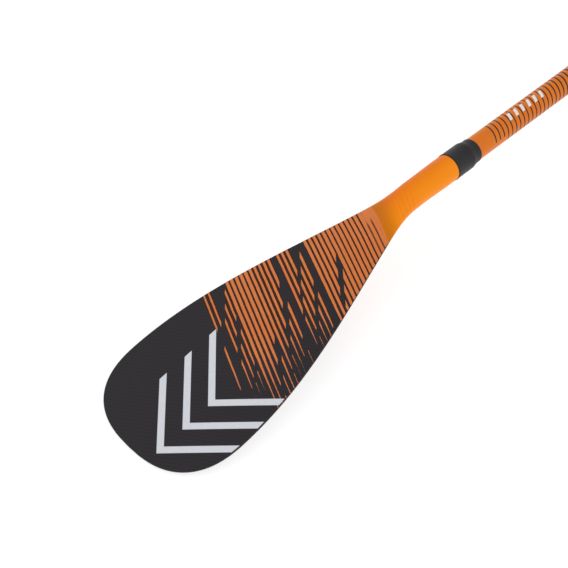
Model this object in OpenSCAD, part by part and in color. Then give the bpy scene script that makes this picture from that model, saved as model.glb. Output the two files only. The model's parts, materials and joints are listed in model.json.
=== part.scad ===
// Adjustable three-section stand-up paddle with one canted blade, a lever clamp and a T grip.
// +X runs up the shaft towards the grip, +Y across the blade, +Z out of the front face.
// The origin is on the shaft's axis at the upper edge of the sleeve over the blade joint.

/* [Overall] */
// Length from the blade's tip to the top of the grip, with the extension pushed right in
total_length = 1800; // [1750:10:1900]
// How far the extension pulls out
travel = 400; // [200:10:400]

/* [Blade] */
// Distance from the bend in the neck to the tip
blade_length = 424; // [410:1:440]
// Greatest width
blade_width = 177; // [165:1:190]
// Angle between the blade and the shaft
cant = 10; // [6:1:12]
// Thickness at the edge
edge_thickness = 2; // [1.6:0.1:2.4]
// Thickness of each carbon skin
skin = 0.9; // [0.6:0.1:1]

/* [Tubes] */
// Outer diameter of the main shaft
shaft_d = 30; // [30:0.5:30.5]
// Outer diameter of the sliding extension
extension_d = 25; // [25:0.1:25.2]
// Wall of both tubes
tube_wall = 1.5; // [1.4:0.1:1.6]
// Outer diameter of the neck at its socket
neck_d = 34.6; // [34.4:0.1:35.4]
// Outer diameter of the neck at its waist
waist_d = 33.3; // [32.9:0.1:33.8]

/* [Clamp and button] */
// Outer diameter of the clamp's collar
collar_d = 37; // [36:0.5:37.5]
// Diameter of the snap button
button_d = 8; // [7:0.5:8]

/* [Grip] */
// Width of the T grip
grip_w = 112; // [100:1:120]
// Diameter of the T bar under its palm pad
grip_d = 31; // [30:0.5:33]

/* [Hidden] */
$fn = 64;
e = 0.01;             // makes cuts run past a face
slip = 0.05;          // clearance of a sliding or bonded fit

shaft_r = shaft_d / 2;
shaft_in = shaft_r - tube_wall;
ext_r = extension_d / 2;
ext_in = ext_r - tube_wall;
neck_r = neck_d / 2;
waist_r = waist_d / 2;

// Places along X
sleeve_len = 45;
mouth_x = -15;                       // the neck's mouth, under the sleeve
socket_x = -92.5;                    // the socket's floor
shaft_bottom_x = -90;
shaft_top_x = 810;
bend_x = -129.6;                     // where the shaft's axis meets the blade's plane
tip_x = bend_x - blade_length * cos(cant);
top_x = tip_x + total_length;        // top of the grip
button_x = -62;

// Neck and blade surface
bend_half = 35;                      // half the length of the bend, along the neck
loft_start = -31.6;                  // stations along the neck and blade, from the bend
neck_end = 46;
neck_wall = 2.2;
widest = 335;                        // station of the greatest width
flank = 60;                          // station where the flare turns into the straight flank
flank_w = 31.1;                      // half width there
flank_slope = 0.285;
tip_power = 2.5;                     // squareness of the tip
neck_sides = 40;                     // points round the neck's loft
blade_rows = 34;
blade_cols = 20;
edge_t = edge_thickness / 2;
spine_w = 19;                        // spread of the spine on the back face

function mix(a, b, t) = a + (b - a) * t;
function clamp01(t) = max(0, min(1, t));
function ease(t) = let (u = clamp01(t)) u * u * (3 - 2 * u);
function hermite(p, m, q, n, len, t) =
    p * (2 * t * t * t - 3 * t * t + 1) + m * len * (t * t * t - 2 * t * t + t)
    + q * (3 * t * t - 2 * t * t * t) + n * len * (t * t * t - t * t);

// Half width of the neck and blade at a station: flare, flank, then a superellipse to the tip
function half_width(s) =
    s < -10 ? waist_r + 0.25 * ease((s + 32) / 22)
    : s < flank ? hermite(waist_r + 0.25, 0.03, flank_w, flank_slope, flank + 10,
        (s + 10) / (flank + 10))
    : s < widest ? hermite(flank_w, flank_slope, blade_width / 2, 0, widest - flank,
        (s - flank) / (widest - flank))
    : let (u = min(1, (s - widest) / (blade_length - widest)))
        blade_width / 2 * pow(max(0, 1 - pow(u, tip_power)), 1 / tip_power);

// Height of the front and the back above the middle plane, along the centre line
function front_rise(s) = mix(waist_r, 4.6, ease((s + 22) / 74))
    - 2.6 * clamp01((s - 60) / (blade_length - 60));
function back_rise(s) = mix(waist_r, 10.5, ease((s + 12) / 100))
    - 8.5 * pow(clamp01((s - 80) / (blade_length - 80)), 0.7);
function flatness(s) = ease((s + 32) / 110);       // 0 is a round section, 1 a blade section
function edge_rise(s) = edge_t * ease((s + 32) / 70);

// Height of a face over the middle plane at a station and a share v of the half width
function front_z(s, v) = let (w = max(0, 1 - v * v), c = edge_rise(s))
    c + (front_rise(s) - c) * mix(sqrt(w), w, flatness(s));
function back_z(s, v) = let (w = max(0, 1 - v * v), c = edge_rise(s), y = v * half_width(s) / spine_w)
    -c - (back_rise(s) - c) * mix(sqrt(w), w * (0.35 + 0.65 * exp(-y * y)), flatness(s));

// A point of the surface, carried along the bent centre line
function bend_at(s) = cant * clamp01((s + bend_half) / (2 * bend_half));
function centre_at(s) = let (r = bend_half / tan(cant / 2), a = bend_at(s), run = max(0, s - bend_half))
    s < -bend_half ? [bend_x - s, 0]
    : [bend_x + bend_half - r * sin(a) - run * cos(cant), -r * (1 - cos(a)) - run * sin(cant)];
function place(s, y, z) = let (c = centre_at(s), a = bend_at(s)) [c[0] - z * sin(a), y, c[1] + z * cos(a)];

// Clamp
collar_x = 780;
collar_len = 42;
collar_r = collar_d / 2;
cap_in = ext_r + 0.25;
slit = 3;
lug_x = 787;
lug_len = 26;
lug_mid = lug_x + lug_len / 2;
lug_t = 6.5;
lug_top = 31;
screw_z = 24;
screw_r = 2.5;
screw_hole = 2.65;
pad_t = 2;
cam_r = 8.5;
cam_offset = 0.8;
pivot_r = 4;
pivot_y = slit / 2 + lug_t + pad_t + cam_r + cam_offset + 0.3;
lever_w = 24;
arm_w = 22.6;
arm_angle = 52;                      // half the angle that the lever's arm wraps round the collar
lever_in = 21;
lever_out = 25;

// Guide bush and slide plug
bush_len = 60;
key_w = 2.4;
groove_w = 3;
groove_depth = 0.8;
ext_bottom_x = shaft_top_x - bush_len - travel - 0.5;

// Grip
grip_len = 105;
grip_x = top_x - grip_len;           // lower edge of the grip's stem
grip_pad = 2.8;
bar_r = grip_d / 2;
bar_x = top_x - grip_pad - bar_r;
bar_half = grip_w / 2;
ext_top_x = grip_x + 45;
rivet_x = grip_x + 24;

// Snap button
button_r = button_d / 2;
button_top = neck_r + 1;
button_flange_z = 12;

// A solid of revolution about the X axis, from [x, radius] points
module about_x(points) {
    rotate([90, 0, 90]) rotate_extrude() polygon([for (p = points) [p[1], p[0]]]);
}
module tube_x(x0, x1, outer, inner) {
    about_x([[x0, inner], [x1, inner], [x1, outer], [x0, outer]]);
}
module rod_x(x0, x1, r) {
    translate([x0, 0, 0]) rotate([0, 90, 0]) cylinder(r = r, h = x1 - x0);
}
module rod_y(x, z, y0, y1, r, sides = $fn) {
    translate([x, y0, z]) rotate([-90, 0, 0]) cylinder(r = r, h = y1 - y0, $fn = sides);
}

// Stations down the blade, closer together round the tip
function station(i) = let (t = i / blade_rows)
    mix(neck_end, blade_length - 0.6, t < 0.7 ? t * 1.1 : 0.77 + 0.23 * sin((t - 0.7) * 300));
function column(j) = -cos(180 * j / blade_cols);

// A closed solid between two height fields over the blade's outline
module between(rows, cols, at, lower, upper) {
    n = (rows + 1) * (cols + 1);
    function id(layer, i, j) = layer * n + i * (cols + 1) + j;
    points = [for (layer = [0, 1]) for (i = [0:rows]) for (j = [0:cols])
        let (s = at[0][i], v = at[1][j], z = layer == 0 ? lower[i][j] : upper[i][j])
        place(s, v * half_width(s), z)];
    faces = concat(
        [for (i = [0:rows - 1]) for (j = [0:cols - 1]) each [
            [id(1, i, j), id(1, i + 1, j), id(1, i + 1, j + 1)],
            [id(1, i, j), id(1, i + 1, j + 1), id(1, i, j + 1)],
            [id(0, i, j), id(0, i + 1, j + 1), id(0, i + 1, j)],
            [id(0, i, j), id(0, i, j + 1), id(0, i + 1, j + 1)]]],
        [for (i = [0:rows - 1]) each [
            [id(1, i, 0), id(0, i, 0), id(0, i + 1, 0)],
            [id(1, i, 0), id(0, i + 1, 0), id(1, i + 1, 0)],
            [id(1, i, cols), id(0, i + 1, cols), id(0, i, cols)],
            [id(1, i, cols), id(1, i + 1, cols), id(0, i + 1, cols)]]],
        [for (j = [0:cols - 1]) each [
            [id(1, 0, j), id(1, 0, j + 1), id(0, 0, j + 1)],
            [id(1, 0, j), id(0, 0, j + 1), id(0, 0, j)],
            [id(1, rows, j), id(0, rows, j), id(0, rows, j + 1)],
            [id(1, rows, j), id(0, rows, j + 1), id(1, rows, j + 1)]]]);
    polyhedron(points, faces, convexity = 6);
}

all_stations = [for (i = [0:blade_rows]) station(i)];
all_columns = [for (j = [0:blade_cols]) column(j)];
front = [for (s = all_stations) [for (v = all_columns) front_z(s, v)]];
back = [for (s = all_stations) [for (v = all_columns) back_z(s, v)]];
front_under = [for (row = front) [for (z = row) max(0, z - skin)]];
back_under = [for (row = back) [for (z = row) min(0, z + skin)]];

module blade_front_skin() color([0.2, 0.19, 0.2])
    between(blade_rows, blade_cols, [all_stations, all_columns], front_under, front);

module blade_back_skin() color([0.2, 0.19, 0.2])
    between(blade_rows, blade_cols, [all_stations, all_columns], back, back_under);

// The foam stops one row and one column short of the edge, where the skins meet
module blade_core() color([0.85, 0.8, 0.65]) {
    rows = blade_rows - 2;
    cols = blade_cols - 2;
    stations = [for (i = [0:rows]) all_stations[i]];
    columns = [for (j = [1:cols + 1]) all_columns[j]];
    between(rows, cols, [stations, columns],
        [for (i = [0:rows]) [for (j = [1:cols + 1]) back_under[i][j]]],
        [for (i = [0:rows]) [for (j = [1:cols + 1]) front_under[i][j]]]);
}

// Ring of points round the neck at a station, set in by a wall thickness
function neck_ring(s, inset) = [for (k = [0:neck_sides - 1])
    let (a = 360 * (k + 0.5) / neck_sides, v = cos(a),
         z = sin(a) > 0 ? front_z(s, v) : back_z(s, v),
         high = sin(a) > 0 ? front_rise(s) : back_rise(s),
         shrink = max(0.2, (high - inset) / high))
    place(s, v * (half_width(s) - inset), z * shrink)];

neck_stations = [for (i = [0:17]) mix(loft_start, neck_end, i / 17)];

// Walls between rings, where each ring is listed one after the other
function ring_faces(first, rings, flip) = [for (i = [0:rings - 2]) for (k = [0:neck_sides - 1])
    let (a = first + i * neck_sides + k, b = first + i * neck_sides + (k + 1) % neck_sides,
         c = a + neck_sides, d = b + neck_sides)
    each flip ? [[a, c, d], [a, d, b]] : [[a, d, c], [a, b, d]]];

module neck_loft() {
    rings = len(neck_stations);
    inner = rings * neck_sides;
    outside = [for (s = neck_stations) each neck_ring(s, 0)];
    inside = [for (s = neck_stations) each neck_ring(s, neck_wall)];
    function lip(ring, flip) = [for (k = [0:neck_sides - 1])
        let (a = ring * neck_sides + k, b = ring * neck_sides + (k + 1) % neck_sides)
        each flip ? [[a, b + inner, b], [a, a + inner, b + inner]]
            : [[a, b, b + inner], [a, b + inner, a + inner]]];
    polyhedron(concat(outside, inside),
        concat(ring_faces(0, rings, false), ring_faces(inner, rings, true),
            lip(0, true), lip(rings - 1, false)),
        convexity = 6);
}

module neck() color([0.96, 0.55, 0.05]) {
    difference() {
        about_x([[mouth_x, shaft_r + slip], [mouth_x, neck_r - 0.4], [mouth_x - 0.4, neck_r], [-66, neck_r],
                 [-100, waist_r], [-100, waist_r - neck_wall - 0.2], [-96, waist_r - neck_wall - 0.2],
                 [-96, 0], [socket_x, 0], [socket_x, shaft_r + slip]]);
        rod_z(button_x, -neck_r - 2, -shaft_in, button_r + 0.2);
    }
    neck_loft();
}

module rod_z(x, z0, z1, r) {
    translate([x, 0, z0]) cylinder(r = r, h = z1 - z0);
}

module neck_core() color([0.85, 0.8, 0.65]) {
    stations = [for (i = [1:17]) mix(loft_start, neck_end, i / 17)];
    rings = len(stations);
    last = (rings - 1) * neck_sides;
    polyhedron([for (s = stations) each neck_ring(s, neck_wall + 0.15)],
        concat(ring_faces(0, rings, false),
            [[for (k = [neck_sides - 1:-1:0]) k]], [[for (k = [0:neck_sides - 1]) last + k]]),
        convexity = 4);
}

// A moulded rubber sleeve: a lip, a wide half on the neck, a step and a narrow half on the shaft
module joint_sleeve() color([0.14, 0.14, 0.15])
    about_x([[-sleeve_len, neck_r + slip], [-sleeve_len, neck_r + 0.4], [-sleeve_len + 0.5, neck_r + 0.65],
             [-sleeve_len + 2.2, neck_r + 0.65], [-sleeve_len + 3.2, neck_r + 0.35],
             [mouth_x + 0.2, neck_r + 0.35],
             [mouth_x + 1.6, neck_r + 0.1], [mouth_x + 6.2, shaft_r + 0.95], [mouth_x + 7.4, shaft_r + 0.7],
             [-1.2, shaft_r + 0.65], [-0.3, shaft_r + 0.45], [0, shaft_r + slip],
             [mouth_x + 0.6, shaft_r + slip], [mouth_x + 0.6, neck_r + slip]]);

module main_shaft() color([0.93, 0.47, 0.1])
    difference() {
        tube_x(shaft_bottom_x, shaft_top_x, shaft_r, shaft_in);
        rod_z(button_x, -shaft_r - 2, 0, button_r + 0.1);
        translate([collar_x + 2, -1, 0]) cube([shaft_top_x - collar_x, 2, shaft_r + 2]);
    }

module shaft_end_plug() color([0.1, 0.1, 0.1])
    about_x([[-92, 0], [-92, shaft_r - 0.6], [-91.4, shaft_r], [shaft_bottom_x, shaft_r],
             [shaft_bottom_x, shaft_in - slip],
             [-87, shaft_in - slip], [-87, shaft_in - 1.8], [-84.6, shaft_in - 1.8], [-84.6, shaft_in - slip],
             [-80, shaft_in - slip], [-80, shaft_in - 3], [-88, shaft_in - 3], [-88, 0]]);

module end_plug_seal() color([0.05, 0.05, 0.05])
    translate([-85.8, 0, 0]) rotate([90, 0, 90]) rotate_extrude()
        translate([shaft_in - 0.9, 0]) circle(r = 0.8, $fn = 32);

module shaft_foam_plug() color([0.9, 0.88, 0.8])
    rod_x(60, 160, shaft_in - 0.1);

// A bent leaf: its lower arm backs the button, and its upper arm bears on the far wall
module snap_spring() color([0.75, 0.76, 0.78]) {
    leaf = 0.6;
    leaf_w = 8;
    lower = -button_flange_z + 1.2;
    upper = shaft_in - 1.2;
    apex = -36;
    translate([0, leaf_w / 2, 0]) rotate([90, 0, 0]) linear_extrude(leaf_w)
        polygon([[-74, lower], [-54, lower], [apex, -1.5], [apex, 1.5], [-70, upper], [-74, upper],
                 [-74, upper - leaf], [-70.2, upper - leaf], [apex - leaf, 1.1], [apex - leaf, -1.1],
                 [-54.3, lower + leaf], [-74, lower + leaf]]);
}

// The button's stem, its domed end and the flange that stops it inside the tube
module snap_button() color([0.75, 0.76, 0.78]) {
    intersection() {
        rod_z(button_x, -button_top, -button_flange_z + e, button_r);
        translate([button_x, 0, -button_top + 7]) sphere(r = 7, $fn = 96);
    }
    rod_z(button_x, -button_top + 4, -button_flange_z + e, button_r);
    rod_z(button_x, -button_flange_z, -button_flange_z + 1, button_r + 1.5);
}

// A slit bush lines the top of the shaft, with a key that runs in the extension's groove
module guide_bush() color([0.12, 0.12, 0.13]) {
    difference() {
        tube_x(shaft_top_x - bush_len, shaft_top_x + 1.5, shaft_in - slip, ext_r + slip);
        translate([shaft_top_x - 35, -1, 0]) cube([40, 2, shaft_r]);
    }
    translate([shaft_top_x - bush_len, -key_w / 2, -ext_r - 0.4]) cube([bush_len, key_w, 0.8]);
}

module clamp_collar() color([0.1, 0.1, 0.11])
    difference() {
        union() {
            about_x([[collar_x, shaft_r + slip], [collar_x, collar_r - 1.2], [collar_x + 1.2, collar_r],
                     [collar_x + collar_len - 3, collar_r], [collar_x + collar_len, collar_r - 3],
                     [collar_x + collar_len, cap_in],
                     [shaft_top_x + 2, cap_in], [shaft_top_x + 2, shaft_r + slip]]);
            translate([lug_x, -slit / 2 - lug_t, shaft_r + 1])
                cube([lug_len, slit + 2 * lug_t, lug_top - shaft_r - 4]);
            translate([lug_mid, -slit / 2 - lug_t, screw_z]) rotate([-90, 0, 0])
                cylinder(r = lug_top - screw_z, h = slit + 2 * lug_t);
        }
        translate([collar_x - 1, -slit / 2, ext_r]) cube([collar_len + 2, slit, lug_top]);
        rod_y(lug_mid, screw_z, -20, 20, screw_hole);
        for (a = [70:40:290]) rotate([a, 0, 0])
            translate([collar_x + 5, -1, collar_r - 0.8]) cube([collar_len - 14, 2, 2]);
    }

module clamp_pad() color([0.7, 0.71, 0.73])
    difference() {
        translate([lug_mid - 9, slit / 2 + lug_t, screw_z - 6]) cube([18, pad_t, 12]);
        rod_y(lug_mid, screw_z, 0, 20, screw_hole);
    }

module clamp_pivot() color([0.7, 0.71, 0.73])
    difference() {
        translate([0, pivot_y, screw_z])
            rod_x(lug_mid - lever_w / 2 + 1, lug_mid + lever_w / 2 - 1, pivot_r);
        rod_y(lug_mid, screw_z, pivot_y - 6, pivot_y + 3, screw_r + slip);
    }

module clamp_screw() color([0.7, 0.71, 0.73]) {
    head_y = -slit / 2 - lug_t - 1;
    difference() {
        rod_y(lug_mid, screw_z, head_y - 5, head_y, 4.3);
        rod_y(lug_mid, screw_z, head_y - 6, head_y - 2.2, 2.4, 6);
    }
    rod_y(lug_mid, screw_z, head_y - 1, pivot_y + 2.8, screw_r);
}

module clamp_washer() color([0.7, 0.71, 0.73])
    difference() {
        rod_y(lug_mid, screw_z, -slit / 2 - lug_t - 1, -slit / 2 - lug_t, 5.6);
        rod_y(lug_mid, screw_z, -20, 0, screw_hole);
    }

// A cam on the pivot, and an arm that wraps round the collar, with a thumb tip
module clamp_lever() color([0.1, 0.1, 0.11])
    difference() {
        union() {
            translate([0, pivot_y - cam_offset, screw_z])
                rod_x(lug_mid - lever_w / 2, lug_mid + lever_w / 2, cam_r);
            translate([lug_mid - arm_w / 2, 0, 0]) rotate([90, 0, 90]) rotate([0, 0, -arm_angle])
                rotate_extrude(angle = 2 * arm_angle - 4)
                    translate([lever_in, 0]) square([lever_out - lever_in, arm_w]);
            translate([lug_mid - lever_w / 2, lever_out * cos(arm_angle) - 3,
                       -lever_out * sin(arm_angle) - 4.5])
                cube([lever_w, 5, 8.3]);
        }
        translate([0, pivot_y, screw_z]) rod_x(lug_mid - lever_w, lug_mid + lever_w, pivot_r + slip);
        translate([lug_mid - 3.5, -5, screw_z - 3.2]) cube([7, 50, 20]);
        for (i = [0:4]) rotate([-14 - 9 * i, 0, 0])
            translate([lug_mid - 8, lever_out - 0.7, -0.8]) cube([16, 2, 1.6]);
    }

module extension_tube() color([0.12, 0.12, 0.13])
    difference() {
        tube_x(ext_bottom_x, ext_top_x, ext_r, ext_in);
        translate([ext_bottom_x - 1, -groove_w / 2, -ext_r - 1])
            cube([grip_x - 12 - ext_bottom_x, groove_w, groove_depth + 1]);
        rod_y(rivet_x, 0, -30, 30, 2.05);
    }

module slide_plug() color([0.1, 0.1, 0.1])
    about_x([[ext_bottom_x - 8, 0], [ext_bottom_x - 8, ext_r - 1], [ext_bottom_x - 6.5, shaft_in - 0.1],
             [ext_bottom_x, shaft_in - 0.1],
             [ext_bottom_x, ext_in - slip], [ext_bottom_x + 24, ext_in - slip],
             [ext_bottom_x + 25, ext_in - 1], [ext_bottom_x + 25, 0]]);

module extension_foam_plug() color([0.9, 0.88, 0.8])
    rod_x(ext_bottom_x + 26, ext_bottom_x + 106, ext_in - 0.1);

// A flared stem and a waisted bar across it, both turned shapes
module grip_handle() color([0.1, 0.1, 0.11])
    difference() {
        union() {
            about_x([[grip_x + 3, 0], [grip_x + 3, ext_r + 3.2], [grip_x + 30, ext_r + 3.2],
                     [grip_x + 50, ext_r + 4.2],
                     [grip_x + 68, ext_r + 7.5], [bar_x, ext_r + 10], [bar_x, 0]]);
            translate([bar_x, 0, 0]) rotate([-90, 0, 0]) rotate_extrude()
                polygon([[0, -bar_half], [bar_r - 7, -bar_half], [bar_r - 2.5, -bar_half + 2],
                         [bar_r - 0.5, -bar_half + 6],
                         [bar_r, -bar_half + 12], [bar_r - 0.8, -22], [bar_r - 1.2, 0], [bar_r - 0.8, 22],
                         [bar_r, bar_half - 12], [bar_r - 0.5, bar_half - 6], [bar_r - 2.5, bar_half - 2],
                         [bar_r - 7, bar_half], [0, bar_half]]);
        }
        rod_x(grip_x - 1, ext_top_x + 0.3, ext_r + slip);
        rod_y(rivet_x, 0, -30, 30, 2.05);
    }

// A soft shell over the top half of the bar
module grip_pad() color([0.93, 0.47, 0.1])
    translate([bar_x, 0, 0]) rotate([-90, 0, 0]) rotate([0, 0, -78]) rotate_extrude(angle = 156)
        polygon([[bar_r + slip, -bar_half + 12], [bar_r - 0.8 + slip, -22], [bar_r - 1.2 + slip, 0],
                 [bar_r - 0.8 + slip, 22],
                 [bar_r + slip, bar_half - 12], [bar_r + 1.4, bar_half - 11],
                 [bar_r + grip_pad - 0.4, bar_half - 16],
                 [bar_r + grip_pad - 0.3, 22], [bar_r + grip_pad, 0], [bar_r + grip_pad - 0.3, -22],
                 [bar_r + grip_pad - 0.4, -bar_half + 16], [bar_r + 1.4, -bar_half + 11]]);

module grip_ring() color([0.93, 0.47, 0.1])
    about_x([[grip_x, ext_r + slip], [grip_x, ext_r + 2.2], [grip_x + 1, ext_r + 3.2],
             [grip_x + 3, ext_r + 3.2],
             [grip_x + 3, ext_r + slip]]);

module grip_rivet() color([0.75, 0.76, 0.78])
    rod_y(rivet_x, 0, -ext_r - 3.4, ext_r + 3.4, 2);

blade_front_skin();
blade_back_skin();
blade_core();
neck();
neck_core();
joint_sleeve();
main_shaft();
shaft_end_plug();
end_plug_seal();
shaft_foam_plug();
snap_spring();
snap_button();
guide_bush();
clamp_collar();
clamp_pad();
clamp_pivot();
clamp_screw();
clamp_washer();
clamp_lever();
extension_tube();
slide_plug();
extension_foam_plug();
grip_handle();
grip_pad();
grip_ring();
grip_rivet();
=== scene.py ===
import json
import math

import bmesh
import bpy
from mathutils import Matrix, Vector


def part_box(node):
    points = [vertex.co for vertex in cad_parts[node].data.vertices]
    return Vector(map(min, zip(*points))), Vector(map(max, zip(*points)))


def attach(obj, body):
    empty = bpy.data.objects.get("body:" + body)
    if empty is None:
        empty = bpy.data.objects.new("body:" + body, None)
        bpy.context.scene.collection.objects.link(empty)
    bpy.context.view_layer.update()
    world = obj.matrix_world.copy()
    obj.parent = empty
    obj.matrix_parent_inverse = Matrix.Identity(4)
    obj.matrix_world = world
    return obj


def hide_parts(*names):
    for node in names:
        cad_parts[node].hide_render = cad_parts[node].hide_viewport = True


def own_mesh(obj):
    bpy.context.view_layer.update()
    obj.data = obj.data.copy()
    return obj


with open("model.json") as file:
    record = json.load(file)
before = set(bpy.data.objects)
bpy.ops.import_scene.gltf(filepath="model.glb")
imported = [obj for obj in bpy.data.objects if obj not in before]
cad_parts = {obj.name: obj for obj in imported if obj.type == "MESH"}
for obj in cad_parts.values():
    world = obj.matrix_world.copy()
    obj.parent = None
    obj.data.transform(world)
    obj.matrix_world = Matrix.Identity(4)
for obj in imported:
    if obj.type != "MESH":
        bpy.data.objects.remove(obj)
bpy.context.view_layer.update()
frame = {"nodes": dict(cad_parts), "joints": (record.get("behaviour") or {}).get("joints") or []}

MM = 0.001
NODES = frame["nodes"]

# ---------------------------------------------------------------- sizes, in metres, from the frame
SHAFT_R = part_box("main_shaft")[1].y
SLEEVE_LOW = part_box("joint_sleeve")[0].x
SLEEVE_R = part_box("joint_sleeve")[1].y
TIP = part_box("blade_front_skin")[0]
NECK_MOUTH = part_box("neck")[1].x
NECK_R = -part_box("snap_button")[0].z - 1 * MM      # the button's dome stands 1 mm out of the neck
BUTTON_X = (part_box("snap_button")[0].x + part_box("snap_button")[1].x) / 2
EXT_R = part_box("extension_tube")[1].y
EXT_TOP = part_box("extension_tube")[1].x
GRIP_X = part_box("grip_ring")[0].x
GRIP_LOW, GRIP_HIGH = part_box("grip_handle")
BAR_X = GRIP_HIGH.x - (GRIP_HIGH.z - GRIP_LOW.z) / 2

# The blade's own surface, the same curves as the CAD, in millimetres
CANT = math.radians(10)
BEND_X = -129.6
BLADE_LEN = (-TIP.x / MM + BEND_X) / math.cos(CANT)
BLADE_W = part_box("blade_front_skin")[1].y / MM
EDGE = 1.0
SKIN = 0.9
WAIST_R = 16.65
WIDEST, FLANK, FLANK_W, FLANK_SLOPE, TIP_POWER = 335, 60, 31.1, 0.285, 2.5
BEND_HALF = 35
NECK_END = 46
SPINE_W = 19


def joint_end(name):
    """How far a sliding joint goes, in metres."""
    return next(j for j in frame["joints"] if j["name"] == name)["range_m"][1]


def mix(a, b, t):
    return a + (b - a) * t


def ease(t):
    t = min(1, max(0, t))
    return t * t * (3 - 2 * t)


def hermite(p, m, q, n, length, t):
    return (p * (2 * t**3 - 3 * t**2 + 1) + m * length * (t**3 - 2 * t**2 + t)
            + q * (3 * t**2 - 2 * t**3) + n * length * (t**3 - t**2))


def half_width(s):
    if s < -10:
        return neck_radius(s) + 0.25 * ease((s + 32) / 22)
    if s < FLANK:
        return hermite(WAIST_R + 0.25, 0.03, FLANK_W, FLANK_SLOPE, FLANK + 10, (s + 10) / (FLANK + 10))
    if s < WIDEST:
        return hermite(FLANK_W, FLANK_SLOPE, BLADE_W, 0, WIDEST - FLANK, (s - FLANK) / (WIDEST - FLANK))
    u = min(1, (s - WIDEST) / (BLADE_LEN - WIDEST))
    return BLADE_W * max(0, 1 - u**TIP_POWER) ** (1 / TIP_POWER)


def neck_radius(s):
    return mix(NECK_R / MM, WAIST_R, ease((s + 70) / 44))


def front_rise(s):
    r = neck_radius(s)
    return mix(r, 4.6, ease((s + 22) / 74)) - 2.6 * min(1, max(0, (s - 60) / (BLADE_LEN - 60)))


def back_rise(s):
    r = neck_radius(s)
    return mix(r, 10.5, ease((s + 12) / 100)) - 8.5 * min(1, max(0, (s - 80) / (BLADE_LEN - 80))) ** 0.7


def flatness(s):
    return ease((s + 32) / 110)


def edge_rise(s):
    return EDGE * ease((s + 32) / 70)


def front_z(s, v):
    w, c = max(0, 1 - v * v), edge_rise(s)
    return c + (front_rise(s) - c) * mix(math.sqrt(w), w, flatness(s))


def back_z(s, v):
    w, c, y = max(0, 1 - v * v), edge_rise(s), v * half_width(s) / SPINE_W
    return -c - (back_rise(s) - c) * mix(math.sqrt(w), w * (0.35 + 0.65 * math.exp(-y * y)), flatness(s))


def place(s, y, z):
    a = CANT * min(1, max(0, (s + BEND_HALF) / (2 * BEND_HALF)))
    r = BEND_HALF / math.tan(CANT / 2)
    run = max(0, s - BEND_HALF)
    if s < -BEND_HALF:
        cx, cz = BEND_X - s, 0
    else:
        cx = BEND_X + BEND_HALF - r * math.sin(a) - run * math.cos(CANT)
        cz = -r * (1 - math.cos(a)) - run * math.sin(CANT)
    return Vector((cx - z * math.sin(a), y, cz + z * math.cos(a))) * MM


# ---------------------------------------------------------------- mesh helpers
def finish_mesh(name, points, faces, sharp=38):
    mesh = bpy.data.meshes.new(name)
    mesh.from_pydata([tuple(p) for p in points], [], faces)
    bm = bmesh.new()
    bm.from_mesh(mesh)
    bmesh.ops.remove_doubles(bm, verts=bm.verts, dist=1e-6)
    bmesh.ops.recalc_face_normals(bm, faces=bm.faces)
    bm.to_mesh(mesh)
    bm.free()
    mesh.polygons.foreach_set("use_smooth", [True] * len(mesh.polygons))
    mesh.set_sharp_from_angle(angle=math.radians(sharp))
    ob = bpy.data.objects.new(name, mesh)
    bpy.context.scene.collection.objects.link(ob)
    return ob


def grid_faces(rows, cols):
    """Faces between neighbouring rings of points, each ring closed on itself."""
    out = []
    for i in range(rows - 1):
        for j in range(cols):
            k = (j + 1) % cols
            out.append((i * cols + j, i * cols + k, (i + 1) * cols + k, (i + 1) * cols + j))
    return out


def rings_mesh(name, rings, closed_loop=False, sharp=38):
    """A solid from rings of points. It is capped at both ends, or its last ring joins its first."""
    n = len(rings[0])
    points = [p for ring in rings for p in ring]
    faces = grid_faces(len(rings), n)
    last = (len(rings) - 1) * n
    if closed_loop:
        faces += [(last + j, last + (j + 1) % n, (j + 1) % n, j) for j in range(n)]
    else:
        faces += [tuple(range(n)), tuple(range(last, last + n))]
    return finish_mesh(name, points, faces, sharp)


def turned(name, profile, axis="X", sides=96, at=(0, 0, 0), closed_loop=True, sharp=38):
    """A turned solid about an axis, from (distance along it, radius) in metres."""
    rings = []
    for d, r in profile:
        ring = []
        for k in range(sides):
            a = 2 * math.pi * k / sides
            u, w = r * math.cos(a), r * math.sin(a)
            p = {"X": (d, u, w), "Y": (u, d, w), "Z": (u, w, d)}[axis]
            ring.append(Vector(p) + Vector(at))
        rings.append(ring)
    return rings_mesh(name, rings, closed_loop, sharp)


def baked(ob):
    """Applies the object's modifiers."""
    graph = bpy.context.evaluated_depsgraph_get()
    mesh = bpy.data.meshes.new_from_object(ob.evaluated_get(graph))
    ob.modifiers.clear()
    ob.data = mesh
    return ob


def cut(ob, tool):
    m = ob.modifiers.new("cut", "BOOLEAN")
    m.operation, m.object, m.solver = "DIFFERENCE", tool, "EXACT"
    baked(ob)
    bpy.data.objects.remove(tool)
    return ob


# ---------------------------------------------------------------- shader helpers
def lin(r, g, b):
    """A display colour in 0 to 255 as scene-linear RGBA."""
    def one(c):
        c /= 255
        return c / 12.92 if c <= 0.04045 else ((c + 0.055) / 1.055) ** 2.4
    return (one(r), one(g), one(b), 1)


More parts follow.
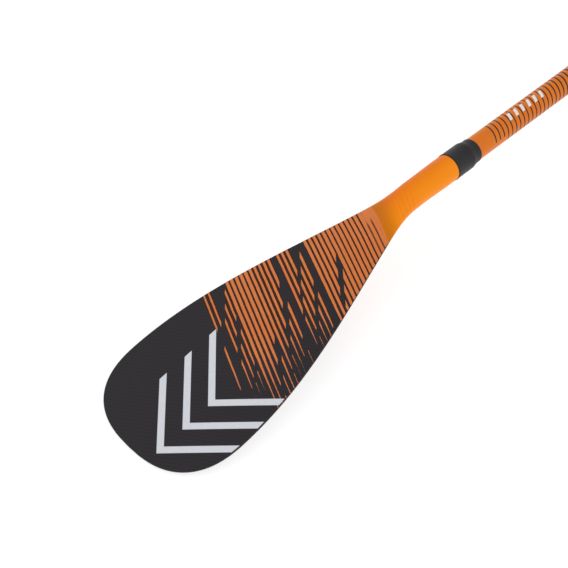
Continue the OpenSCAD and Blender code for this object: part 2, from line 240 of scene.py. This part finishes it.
class Val:
    """A number in a node tree, so that formulas read like formulas."""

    def __init__(self, tree, socket):
        self.t, self.s = tree, socket

    def op(self, kind, *others):
        n = self.t.nodes.new("ShaderNodeMath")
        n.operation = kind
        for slot, v in zip(n.inputs, (self, *others)):
            if isinstance(v, Val):
                self.t.links.new(v.s, slot)
            else:
                slot.default_value = v
        return Val(self.t, n.outputs[0])

    def __add__(self, o): return self.op("ADD", o)
    def __sub__(self, o): return self.op("SUBTRACT", o)
    def __mul__(self, o): return self.op("MULTIPLY", o)
    def __truediv__(self, o): return self.op("DIVIDE", o)
    def __rsub__(self, o): return (self * -1) + o
    def abs(self): return self.op("ABSOLUTE")
    def floor(self): return self.op("FLOOR")
    def fract(self): return self.op("FRACT")
    def sin(self): return self.op("SINE")
    def over(self, o): return self.op("GREATER_THAN", o)
    def under(self, o): return self.op("LESS_THAN", o)
    def max(self, o): return self.op("MAXIMUM", o)

    def ramp(self, low, high):
        """0 below low, 1 above high, smooth between."""
        n = self.t.nodes.new("ShaderNodeMapRange")
        n.interpolation_type = "SMOOTHSTEP"
        self.t.links.new(self.s, n.inputs["Value"])
        n.inputs["From Min"].default_value, n.inputs["From Max"].default_value = low, high
        return Val(self.t, n.outputs["Result"])


class Look:
    """A procedural material with a principled shader, and where the surface is in the row frame."""

    def __init__(self, name, rough=0.4, metal=0.0, spec=0.4, coat=0.0):
        self.m = bpy.data.materials.new(name)
        self.m.use_nodes = True
        self.t = self.m.node_tree
        self.p = self.t.nodes["Principled BSDF"]
        self.p.inputs["Roughness"].default_value = rough
        self.p.inputs["Metallic"].default_value = metal
        self.p.inputs["Specular IOR Level"].default_value = spec
        self.p.inputs["Coat Weight"].default_value = coat
        self.p.inputs["Coat Roughness"].default_value = 0.12
        coord = self.t.nodes.new("ShaderNodeTexCoord")
        self.co = coord.outputs["Object"]
        split = self.t.nodes.new("ShaderNodeSeparateXYZ")
        self.t.links.new(self.co, split.inputs[0])
        self.x, self.y, self.z = (Val(self.t, s) * 1000 for s in split.outputs)

    def noise(self, scale, detail=3, stretch=(1, 1, 1), rough=0.5):
        """Noise in 0 to 1. scale is in features a metre."""
        mp = self.t.nodes.new("ShaderNodeMapping")
        mp.inputs["Scale"].default_value = stretch
        self.t.links.new(self.co, mp.inputs["Vector"])
        n = self.t.nodes.new("ShaderNodeTexNoise")
        n.inputs["Scale"].default_value, n.inputs["Detail"].default_value = scale, detail
        n.inputs["Roughness"].default_value = rough
        self.t.links.new(mp.outputs[0], n.inputs["Vector"])
        return Val(self.t, n.outputs["Fac"])

    def blend(self, fac, a, b):
        n = self.t.nodes.new("ShaderNodeMix")
        n.data_type = "RGBA"
        for slot, v in ((n.inputs["Factor"], fac), (n.inputs[6], a), (n.inputs[7], b)):
            if isinstance(v, Val):
                self.t.links.new(v.s, slot)
            else:
                slot.default_value = v
        return Val(self.t, n.outputs[2])

    def colour(self, v):
        if isinstance(v, Val):
            self.t.links.new(v.s, self.p.inputs["Base Color"])
        else:
            self.p.inputs["Base Color"].default_value = v

    def set(self, socket, v):
        self.t.links.new(v.s, self.p.inputs[socket])

    def bump(self, height, strength=0.2, distance=0.0002, soften=0.0):
        n = self.t.nodes.new("ShaderNodeBump")
        n.inputs["Strength"].default_value, n.inputs["Distance"].default_value = strength, distance
        self.t.links.new(height.s, n.inputs["Height"])
        if soften:
            b = self.t.nodes.new("ShaderNodeBevel")
            b.samples = 6
            b.inputs["Radius"].default_value = soften
            self.t.links.new(b.outputs[0], n.inputs["Normal"])
        self.t.links.new(n.outputs[0], self.p.inputs["Normal"])

    def weave(self, u, w, tow):
        """A two-over-two twill: (which way the tow runs, its rounded height)."""
        a, b = u / tow, w / tow
        warp = ((a.floor() - b.floor()) / 4).fract().under(0.5)
        round_a = (a.fract() * math.pi).sin()
        round_b = (b.fract() * math.pi).sin()
        return warp, warp * round_a + (1 - warp) * round_b


# ---------------------------------------------------------------- the pattern on the blade and neck
# Brush strokes run across the blade in slanted columns, measured in millimetres from the bend
SLANT = 0.46                # how far a column leans along the blade for each millimetre across it
PITCH = 6.55                # from one column to the next
FIRST = 108.9               # middle of column 0
STROKES_START = 37          # where the neck's lacquer gives way to strokes
# A void is a black gap that steps down the columns: (first column, last column, its top at the
# first, its height, its drop a column, the height it loses a column)
VOIDS = (
    (0, 2, 2, 20, 17, 3),
    (5, 5, 99, 199, 0, 0),
    (6, 7, 99, 60, 0, -16),
    (6, 10, -2, 14, 14.5, 1.5),
    (8, 10, 22, 12, 20.5, 2),
    (6, 8, -57, 60, 9, 0),
    (9, 10, -71, 40, 2, 0),
    (11, 11, 99, 199, 0, 0),
    (12, 16, 25, 25, 21.5, 5),
    (12, 13, -42, 16, 18, 3),
    (17, 19, -22, 22, 22, 5),
    (22, 24, 99, 32, 0, -15),
    (22, 24, 30, 15, 15.5, 1),
    (22, 24, -27, 8, 10, 0),
    (22, 24, -65, 60, 3, 0),
    (25, 25, 36, 150, 0, 0),
    (26, 26, 35, 22, 0, 0),
    (26, 26, -38, 60, 0, 0),
)
LAST_COLUMN = 26
# Columns where the paint is drier, so that strokes are narrower:
# (first, last, share of the width lost)
DRIER = ((1, 4, 0.03), (6, 10, 0.07), (12, 15, 0.04), (17, 21, -0.05), (22, 26, 0.06))

# The mark towards the tip: plain nested chevrons
MARK_AT = (404, -29)        # the point of the chevron nearest the tip, along and across
MARK_STEP = 37              # from one chevron to the next
MARK_REACH = 64             # half of a chevron's spread
MARK_LINE = 7.6             # width of its line
MARK_SLOPE = 0.95


def blade_paint(name, with_mark):
    k = Look(name, rough=0.4, spec=0.12, coat=0.0)
    s = (k.x - BEND_X) * -math.cos(CANT) - k.z * math.sin(CANT)
    y = k.y
    wobble = (k.noise(60, 2) - 0.5) * 0.8
    q = s + y * SLANT + wobble
    cell = (q - FIRST) / PITCH + 0.5
    col = cell.floor()
    u = cell.fract()                                   # 0 to 1 across a column
    jitter = (k.noise(45, 1) - 0.5) * 5
    yy = y + jitter + u * 13 - 4                       # a stroke's end is cut at a slant
    black = None
    for c0, c1, top, tall, drop, lost in VOIDS:
        n = col - c0
        high = (n * -drop) + top
        low = high - ((n * -lost) + tall)
        inside = yy.under(high) * yy.over(low) * col.over(c0 - 0.5) * col.under(c1 + 0.5)
        black = inside if black is None else black.max(inside)
    # Thin black lines between strokes, finer near the neck, wider where the paint runs dry
    dry = s.ramp(90, 300) * 0.12 + (y * -1).ramp(10, 80) * s.ramp(120, 200) * 0.2
    for c0, c1, more in DRIER:
        dry = dry + col.over(c0 - 0.5) * col.under(c1 + 0.5) * more
    grain = (k.noise(420, 2, (0.3, 1, 1)) - 0.5) * 0.1
    line = (u - 0.5).abs() + dry + grain
    gap = line.ramp(0.305, 0.36)
    gap = gap * q.ramp(52, 58).max(q.ramp(40, 45) * (1 - y.ramp(2, 12)) * 0.85)
    paint = (1 - black) * (1 - gap) * col.under(LAST_COLUMN + 0.5)
    attr = k.t.nodes.new("ShaderNodeAttribute")
    attr.attribute_name = "rim"
    rim = Val(k.t, attr.outputs["Fac"])
    on_blade = (q + (y * y) * -0.0022).ramp(STROKES_START - 1.2, STROKES_START + 1.6)
    paint = paint * (1 - ((1 - rim.ramp(0.1, 0.5)) * on_blade))

    # Twill under the lacquer
    warp, tow = k.weave(s + y * 0.2, y - s * 0.2, 1.5)
    fine = k.noise(900, 2)
    shade = warp * 0.24 + tow * 0.3 + fine * 0.46
    carbon = k.blend(shade, lin(34, 31, 35), lin(50, 46, 51))

    tone = k.noise(24, 3) * 0.6 + k.noise(160, 2, (0.2, 1, 1)) * 0.4
    stroke = k.blend(tone, lin(204, 108, 50), lin(226, 134, 76))
    # The lines between strokes let a little orange through
    thin = gap * (1 - black) * (1 - s.ramp(230, 300))
    thin = thin * (1 - (y * -1).ramp(10, 50) * s.ramp(120, 190)) * col.under(LAST_COLUMN + 0.5)
    under = k.blend(thin * 0.75, carbon, lin(58, 26, 8))
    face = k.blend(paint, under, stroke)

    # The neck: golden lacquer, lighter on one side as painted shading of the light across it, darker brown
    # where it ends as a painted shade of the hollow down to the blade, with faint slanted strokes
    # Painted shading: the neck is coloured lighter towards its −Y side, where the light falls on its
    # round.
    lit_side = (y * -1).ramp(-17, 14)
    gold = k.blend(lit_side, lin(228, 112, 2), lin(252, 145, 4))
    faint = ((q / PITCH).fract() - 0.5).abs().ramp(0.1, 0.4)
    faint = faint * s.ramp(-24, -6) * (1 - s.ramp(10, 30)) * 0.32
    gold = k.blend(faint, gold, lin(246, 112, 34))
    # Painted shade: the neck turns darker brown where it ends, for the shade in the hollow where it steps
    # down to the blade.
    painted_shade_band = (q + (y * y) * -0.0022).ramp(6, STROKES_START) * 0.85
    gold = k.blend(painted_shade_band, gold, lin(190, 108, 4))
    gold = k.blend((k.noise(35, 3)) * 0.16, gold, lin(228, 110, 4))
    face = k.blend(on_blade, gold, face)

    if with_mark:
        across = (y - MARK_AT[1]).abs()
        reach = across.under(MARK_REACH)
        lean = math.cos(math.atan(MARK_SLOPE))
        mark = None
        for i in range(3):
            d = (s + across * MARK_SLOPE - (MARK_AT[0] - i * MARK_STEP)).abs() * lean
            one = (1 - d.ramp(MARK_LINE / 2 - 0.25, MARK_LINE / 2 + 0.25)) * reach
            mark = one if mark is None else mark.max(one)
        white = k.blend(k.noise(300, 2), lin(206, 209, 217), lin(220, 223, 230))
        face = k.blend(mark * (1 - (1 - rim.ramp(1.0, 1.8))), face, white)
    k.colour(face)
    k.set("Roughness", k.noise(80, 3) * 0.12 + 0.32 + (1 - paint) * on_blade * 0.05)
    relief = tow * (1 - paint) * on_blade * 0.25 + paint * on_blade * 0.5 + k.noise(1500, 2) * 0.08
    k.bump(relief, 0.12, 0.0001)
    return k.m


# Black rings round the shaft, which thicken up it until they merge, in millimetres
RING_SLANT = math.tan(math.radians(13.64))
RINGS_START = 30.8
RING_PITCH = 8
RINGS_MERGED = 430
DASHES_START, DASH_PITCH, DASHES = 62, 12.5, 6


def shaft_paint():
    k = Look("shaft_lacquer", rough=0.36, spec=0.16)
    r = (k.x - k.y * RING_SLANT - RINGS_START) / RING_PITCH
    n, f = r.floor(), r.fract()
    grow = k.x.ramp(100, 420)
    half = grow * 0.42 + 0.13 + (k.noise(300, 2) - 0.5) * 0.04
    ring = (1 - (((f - 0.125).abs() - half).ramp(-0.02, 0.02))) * n.over(-0.5)
    short = k.y.under(0) * k.z.under(4.2) * n.under(2.5)
    ring = ring * (1 - short)
    ring = ring.max(k.x.over(RINGS_MERGED))
    orange = k.blend(k.noise(22, 3), lin(212, 108, 10), lin(226, 122, 30))
    a, w = k.x, k.y.op("ARCTAN2", k.z) * (SHAFT_R / MM)
    warp, tow = k.weave(a, w, 1.6)
    near = k.blend(warp * 0.4 + tow * 0.2 + k.noise(900, 2) * 0.4, lin(34, 26, 24), lin(54, 44, 42))
    far = k.blend(warp * 0.45 + tow * 0.2 + k.noise(900, 2) * 0.35, lin(30, 29, 31), lin(58, 56, 58))
    black = k.blend(k.x.ramp(150, RINGS_MERGED), near, far)
    face = k.blend(ring, orange, black)
    # A row of plain slanted dashes
    lean = (a - w * 0.45 - DASHES_START) / DASH_PITCH
    dash = (lean.fract() - 0.5).abs().under(0.2) * lean.over(0) * lean.under(DASHES)
    dash = dash * w.over(-6.5) * w.under(4)
    face = k.blend(dash, face, lin(232, 228, 226))
    k.colour(face)
    k.set("Roughness", k.noise(70, 3) * 0.12 + 0.28 + ring * 0.05)
    k.bump(tow * ring * 0.3 + k.noise(1500, 2) * 0.1, 0.1, 0.0001)
    return k.m


def carbon_tube():
    k = Look("carbon_tube", rough=0.38, spec=0.3)
    a, w = k.x, k.y.op("ARCTAN2", k.z) * (EXT_R / MM)
    warp, tow = k.weave(a, w, 1.6)
    face = k.blend(warp * 0.45 + tow * 0.2 + k.noise(900, 2) * 0.35, lin(34, 33, 35), lin(66, 63, 65))
    mark = (k.x / 20).fract().under(0.05) * w.abs().under(4.5) * k.x.under(GRIP_X / MM - 30)
    face = k.blend(mark, face, lin(214, 214, 212))
    scuff = k.noise(160, 4, (0.05, 1, 1), 0.7).ramp(0.6, 0.8)
    face = k.blend(scuff * 0.12, face, lin(120, 118, 118))
    k.colour(face)
    k.set("Roughness", k.noise(60, 3) * 0.12 + 0.3 + scuff * 0.1)
    k.bump(tow * 0.3 + k.noise(1500, 2) * 0.1, 0.12, 0.0001)
    return k.m


def moulded(name, dark, light, rough, grain=1400, soften=0.0006, depth=0.3):
    k = Look(name, rough=rough, spec=0.22)
    g = k.noise(grain, 3)
    wear = k.noise(50, 4, (1, 1, 1), 0.65)
    k.colour(k.blend(g * 0.4 + wear * 0.6, dark, light))
    k.set("Roughness", wear * 0.2 + rough - 0.1)
    k.bump(g, depth, 0.00015, soften)
    return k.m


def metal(name, dark, light, rough, stretch=(0.05, 1, 1)):
    k = Look(name, rough=rough, metal=1.0, spec=0.5)
    g = k.noise(900, 3, stretch)
    k.colour(k.blend(g, dark, light))
    k.set("Roughness", k.noise(80, 3) * 0.15 + rough - 0.07)
    k.bump(g, 0.15, 0.0001, 0.0004)
    return k.m


PAINT_FRONT = blade_paint("blade_lacquer_front", True)
PAINT_BACK = blade_paint("blade_lacquer_back", False)
SHAFT = shaft_paint()
CARBON = carbon_tube()
PLASTIC = moulded("moulded_plastic", lin(28, 28, 29), lin(46, 45, 47), 0.46)
RUBBER = moulded("moulded_rubber", lin(26, 26, 27), lin(44, 43, 45), 0.58, 2200, 0.0004, 0.35)
ORANGE_SOFT = moulded("soft_orange", lin(214, 96, 12), lin(236, 122, 26), 0.6, 1800, 0.0006, 0.4)
FOAM = moulded("closed_foam", lin(196, 184, 150), lin(230, 222, 194), 0.85, 900, 0.0, 0.8)
STEEL = metal("stainless", lin(160, 162, 166), lin(206, 208, 212), 0.3)
SPRING = metal("spring_steel", lin(140, 142, 148), lin(190, 192, 198), 0.35)


def dress(ob, *mats):
    ob.data.materials.clear()
    for m in mats:
        ob.data.materials.append(m)


# ---------------------------------------------------------------- blade skins and neck
def stations(n):
    return [mix(NECK_END, BLADE_LEN - 0.05, 1 - (1 - i / n) ** 1.9) for i in range(n + 1)]


def rim_distance(ob):
    """Stores each point's distance in from the blade's outline, in millimetres."""
    rim = ob.data.attributes.new("rim", "FLOAT", "POINT")
    for i, vert in enumerate(ob.data.vertices):
        p = vert.co / MM
        s = -(p.x - BEND_X) * math.cos(CANT) - p.z * math.sin(CANT)
        h = half_width(s)
        slope = (half_width(min(BLADE_LEN, s + 0.5)) - half_width(s - 0.5))
        rim.data[i].value = max(0, (h - abs(p.y)) / math.sqrt(1 + slope * slope)) if s > 0 else 99


def skin(name, upper, lower, rows=150, cols=72):
    st = stations(rows)
    vs = [-math.cos(math.pi * j / cols) for j in range(cols + 1)]
    rings = []
    for s in st:
        h = half_width(s)
        top = [place(s, v * h, upper(s, v)) for v in vs]
        low = [place(s, v * h, lower(s, v)) for v in vs]
        rings.append(top + low[::-1])
    ob = rings_mesh(name, rings)
    rim_distance(ob)
    return ob


front = skin("blade_front_face", front_z, lambda s, v: max(0, front_z(s, v) - SKIN))
back = skin("blade_back_face", back_z, lambda s, v: min(0, back_z(s, v) + SKIN))
dress(front, PAINT_FRONT)
dress(back, PAINT_BACK)


def neck_ring(s, inset, sides=96):
    ring = []
    for k in range(sides):
        a = 2 * math.pi * (k + 0.5) / sides
        v = math.cos(a)
        z, high = (front_z(s, v), front_rise(s)) if math.sin(a) > 0 else (back_z(s, v), back_rise(s))
        ring.append(place(s, v * (half_width(s) - inset), z * (high - inset) / high))
    return ring


# Stations of the neck's mouth and of its socket's floor, from the bend
SOCKET_X = -92.5
NECK_WALL = 2.2
mouth = BEND_X - NECK_MOUTH / MM
socket = BEND_X - SOCKET_X
outer = [neck_ring(mix(mouth, NECK_END, i / 110), 0) for i in range(111)]
inner = [neck_ring(mix(socket + 0.4, NECK_END, i / 40), NECK_WALL) for i in range(41)][::-1]


def bore_ring(s, sides=96):
    r = SHAFT_R / MM + 0.05
    angles = [2 * math.pi * (k + 0.5) / sides for k in range(sides)]
    return [place(s, r * math.cos(a), r * math.sin(a)) for a in angles]


neck = rings_mesh("neck_shell", outer + inner + [bore_ring(socket), bore_ring(mouth)], closed_loop=True)
HOLE_R = 4.2 * MM
hole = turned("hole", [(-30 * MM, HOLE_R), (-10 * MM, HOLE_R)], "Z", 48, (BUTTON_X, 0, 0),
              closed_loop=False)
cut(neck, hole)
rim_distance(neck)
dress(neck, PAINT_FRONT)
for ob, node in ((front, "blade_front_skin"), (back, "blade_back_skin"), (neck, "neck")):
    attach(ob, "shaft")
    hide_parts(node)

# ---------------------------------------------------------------- rubber sleeve over the joint
LIP = 2.4
# Groups of points: what they are measured from along and out, and how far from it, in millimetres
SLEEVE_POINTS = (
    (SLEEVE_LOW, NECK_R, [(0, 0.05)]),
    (SLEEVE_LOW, SLEEVE_R, [(0, -0.5), (0.3, -0.12), (0.8, 0), (LIP, 0), (LIP + 0.5, -0.12),
                            (LIP + 0.9, -0.38)]),
    (NECK_MOUTH, SLEEVE_R, [(-1, -0.38), (0.6, -0.5), (1.6, -0.9)]),
    (NECK_MOUTH, SHAFT_R, [(6, 1.1), (7, 0.75)]),
    (0, SHAFT_R, [(-1.4, 0.7), (-0.6, 0.6), (-0.1, 0.35), (0, 0.05)]),
    (NECK_MOUTH, SHAFT_R, [(0.6, 0.05)]),
    (NECK_MOUTH, NECK_R, [(0.6, 0.05)]),
)
sleeve_profile = [(along + d * MM, out + r * MM) for along, out, points in SLEEVE_POINTS
                  for d, r in points]
sleeve = turned("joint_sleeve_shell", sleeve_profile, sides=128, sharp=50)


def sleeve_rubber():
    """Rubber with a moulding seam, and a soft crease where its narrow end grips the shaft."""
    k = Look("sleeve_rubber", rough=0.5, spec=0.22)
    g, wear = k.noise(2200, 3), k.noise(45, 4, (1, 1, 1), 0.6)
    k.colour(k.blend(g * 0.35 + wear * 0.65, lin(24, 24, 25), lin(42, 41, 43)))
    around = k.y.op("ARCTAN2", k.z) * (SLEEVE_R / MM)
    along = k.x + 9                                    # from the crease's middle
    crease = (1 - (around + 6 - along * 0.25).abs().ramp(0.3, 1.4)) * (1 - along.abs().ramp(3, 6))
    seam = 1 - (around - 2).abs().ramp(0.05, 0.25)
    k.set("Roughness", wear * 0.2 + 0.42)
    k.bump(g * 0.12 + crease * 0.9 + seam * 0.15, 0.5, 0.0006, 0.0003)
    return k.m


dress(sleeve, sleeve_rubber())
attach(sleeve, "shaft")
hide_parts("joint_sleeve")

# ---------------------------------------------------------------- T grip, stem and bar in one shape
PAD_T = 2.8 * MM
BAR_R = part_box("grip_pad")[1].x - BAR_X - PAD_T
BAR_HALF = GRIP_HIGH.y
stem_shape = [(3, 3.2), (30, 3.3), (50, 4.4), (68, 7.7)]
stem = turned("grip_body", [(GRIP_X + d * MM, EXT_R + r * MM) for d, r in stem_shape]
              + [(BAR_X, EXT_R + 9 * MM)], closed_loop=False)
bar_shape = [(-1, -7), (-0.965, -2.5), (-0.89, -0.5), (-0.79, 0), (-0.39, -0.8), (0, -1.2)]
bar_shape += [(-d, r) for d, r in bar_shape[-2::-1]]
bar = turned("bar", [(d * BAR_HALF, BAR_R + r * MM) for d, r in bar_shape], "Y", 96,
             (BAR_X, 0, 0), closed_loop=False)
join = stem.modifiers.new("join", "BOOLEAN")
join.operation, join.object, join.solver = "UNION", bar, "EXACT"
net = stem.modifiers.new("net", "REMESH")
net.mode, net.voxel_size, net.use_smooth_shade = "VOXEL", 0.9 * MM, True
soft = stem.modifiers.new("soft", "SMOOTH")
soft.factor, soft.iterations = 0.5, 14
baked(stem)
bpy.data.objects.remove(bar)
BORE_R = EXT_R + 0.06 * MM
cut(stem, turned("bore", [(GRIP_X, BORE_R), (EXT_TOP + 0.3 * MM, BORE_R)], closed_loop=False))
stem.data.polygons.foreach_set("use_smooth", [True] * len(stem.data.polygons))
stem.data.set_sharp_from_angle(angle=math.radians(50))
dress(stem, PLASTIC)
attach(stem, "extension")
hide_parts("grip_handle")

# ---------------------------------------------------------------- leaf spring, a copy of the CAD's spring carried with the shaft
leaf = bpy.data.objects.new("snap_leaf", NODES["snap_spring"].data.copy())
bpy.context.scene.collection.objects.link(leaf)
LEAF_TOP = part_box("snap_spring")[1].z
LEAF_TALL = LEAF_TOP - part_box("snap_spring")[0].z
PRESS = joint_end("button_push")
dress(leaf, SPRING)
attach(leaf, "shaft")
1 - (PRESS + 0.1 * MM) / LEAF_TALL
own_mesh(leaf)
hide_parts("snap_spring")

# ---------------------------------------------------------------- CAD pieces that are shown as they are
KEEP = {
    "main_shaft": SHAFT, "extension_tube": CARBON, "guide_bush": PLASTIC, "clamp_collar": PLASTIC,
    "clamp_lever": PLASTIC, "slide_plug": PLASTIC, "shaft_end_plug": PLASTIC, "end_plug_seal": RUBBER,
    "clamp_pad": STEEL, "clamp_pivot": STEEL, "clamp_screw": STEEL, "clamp_washer": STEEL,
    "snap_button": STEEL, "grip_rivet": STEEL, "grip_pad": ORANGE_SOFT, "grip_ring": ORANGE_SOFT,
    "blade_core": FOAM, "neck_core": FOAM, "shaft_foam_plug": FOAM, "extension_foam_plug": FOAM,
}
for name, mat in KEEP.items():
    ob = NODES[name]
    dress(ob, mat)
    mesh = ob.data
    if "custom_normal" in mesh.attributes:
        mesh.attributes.remove(mesh.attributes["custom_normal"])
    mesh.polygons.foreach_set("use_smooth", [True] * len(mesh.polygons))
    weld = ob.modifiers.new("weld", "WELD")
    weld.merge_threshold = 1e-6
    split = ob.modifiers.new("split", "EDGE_SPLIT")
    split.split_angle = math.radians(35)

# ---------------------------------------------------------------- floor, light and camera
low_tip = TIP.copy()
low_tip.z = min(v.co.z for v in back.data.vertices)
reach = BAR_X + joint_end("extension_slide")           # the grip, pulled right out
rise = math.atan2(-BAR_R - low_tip.z, reach - low_tip.x)
bpy.ops.mesh.primitive_plane_add(size=160, location=(low_tip.x, 0, low_tip.z),
                                 rotation=(0, -rise, 0))
floor = bpy.context.object
floor.name = "floor"
paper = Look("paper", rough=0.9, spec=0.1)
paper.colour(paper.blend(paper.noise(6, 3), (0.34, 0.34, 0.34, 1), (0.36, 0.36, 0.36, 1)))
paper.p.inputs["Emission Color"].default_value = (1, 1, 1, 1)
paper.p.inputs["Emission Strength"].default_value = 0.76
dress(floor, paper.m)

world = bpy.data.worlds.new("studio")
bpy.context.scene.world = world
world.use_nodes = True
sky = world.node_tree.nodes["Background"]
sky.inputs["Color"].default_value = (1, 1, 1, 1)
up_way = world.node_tree.nodes.new("ShaderNodeSeparateXYZ")
where = world.node_tree.nodes.new("ShaderNodeTexCoord")
world.node_tree.links.new(where.outputs["Generated"], up_way.inputs[0])
glow = 1.0 - Val(world.node_tree, up_way.outputs["Z"]).ramp(0.0, 0.5) * 0.25
world.node_tree.links.new(glow.s, sky.inputs["Strength"])


def area(name, at, to, size, power, colour=(1, 1, 1)):
    lamp = bpy.data.lights.new(name, "AREA")
    lamp.size, lamp.energy, lamp.color = size, power, colour
    ob = bpy.data.objects.new(name, lamp)
    ob.location = at
    ob.rotation_euler = (Vector(to) - Vector(at)).to_track_quat("-Z", "Y").to_euler()
    bpy.context.scene.collection.objects.link(ob)


area("key", (-0.9, 1.6, 2.4), (-0.1, 0, 0), 2.4, 14)
area("fill", (1.2, -1.8, 1.8), (0.3, 0, 0), 2.4, 8)

cam_data = bpy.data.cameras.new("camera")
cam_data.sensor_width, cam_data.lens = 36, 74.97
cam = bpy.data.objects.new("camera", cam_data)
# The camera's place, and its right, up and backward directions
CAMERA_AT = (-0.91804, -0.59042, 0.98181)
right = Vector((0.71540, -0.69854, 0.01550))
up = Vector((0.52209, 0.54916, 0.65257))
away = Vector((-0.46436, -0.45876, 0.75757))
turn = Matrix((right, up, away)).transposed().to_4x4()
cam.matrix_world = Matrix.Translation(CAMERA_AT) @ turn
bpy.context.scene.collection.objects.link(cam)
bpy.context.scene.camera = cam
bpy.context.scene.view_settings.view_transform = "Standard"
